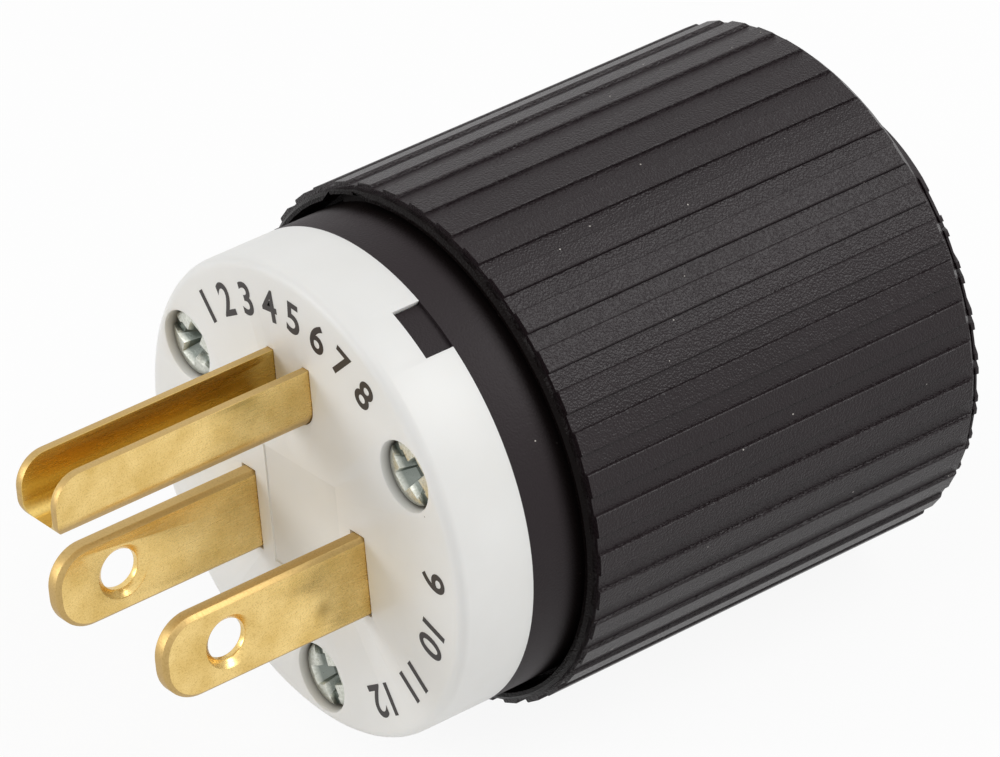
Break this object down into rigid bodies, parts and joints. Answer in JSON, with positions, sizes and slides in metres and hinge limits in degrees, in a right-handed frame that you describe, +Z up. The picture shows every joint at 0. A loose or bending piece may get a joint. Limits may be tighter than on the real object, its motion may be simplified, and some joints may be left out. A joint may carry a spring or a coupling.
{
  "type": "type b plug",
  "caption": "Rewirable straight-blade grounding plug with a pale face, brass blades and U-shaped ground pin, dark ribbed barrel and a rear cord clamp",
  "frame": {"origin": "centre of the bounding box at floor level, below the middle of the plug's length, with the plug lying on its ribs", "axes": "+Y runs along the plug's axis from the blades to the cord clamp, so the face looks along -Y; +Z is up, through the ground pin; +X is the neutral blade's side"},
  "size_m": [0.0392, 0.0718, 0.0392],
  "materials": {
    "white_nylon": "satin moulded nylon",
    "black_nylon": "fine matte moulded nylon",
    "black_grain": "fine leather-grain moulded nylon",
    "brass": "stamped, lightly scuffed",
    "brass_screw": "turned",
    "nickel_screw": "nickel plated",
    "green_screw": "green dyed plating",
    "zinc_screw": "zinc plated",
    "plated_steel": "zinc plated"
  },
  "bodies": {
    "root": {"face": "white_nylon", "terminal_body": "black_nylon", "housing": "black_grain", "clamp_jaw_right": "black_nylon", "clamp_jaw_left": "black_nylon", "blade_line": "brass", "blade_neutral": "brass", "ground_pin": "brass", "pressure_plate_line": "plated_steel", "pressure_plate_neutral": "plated_steel", "pressure_plate_ground": "plated_steel", "terminal_screw_line": "brass_screw", "terminal_screw_neutral": "nickel_screw", "terminal_screw_ground": "green_screw", "assembly_screw_1": "zinc_screw", "assembly_screw_2": "zinc_screw", "assembly_screw_3": "zinc_screw", "threaded_insert_1": "brass_screw", "threaded_insert_2": "brass_screw", "threaded_insert_3": "brass_screw", "clamp_screw_upper": "zinc_screw", "clamp_screw_lower": "zinc_screw"}
  },
  "joints": []
}
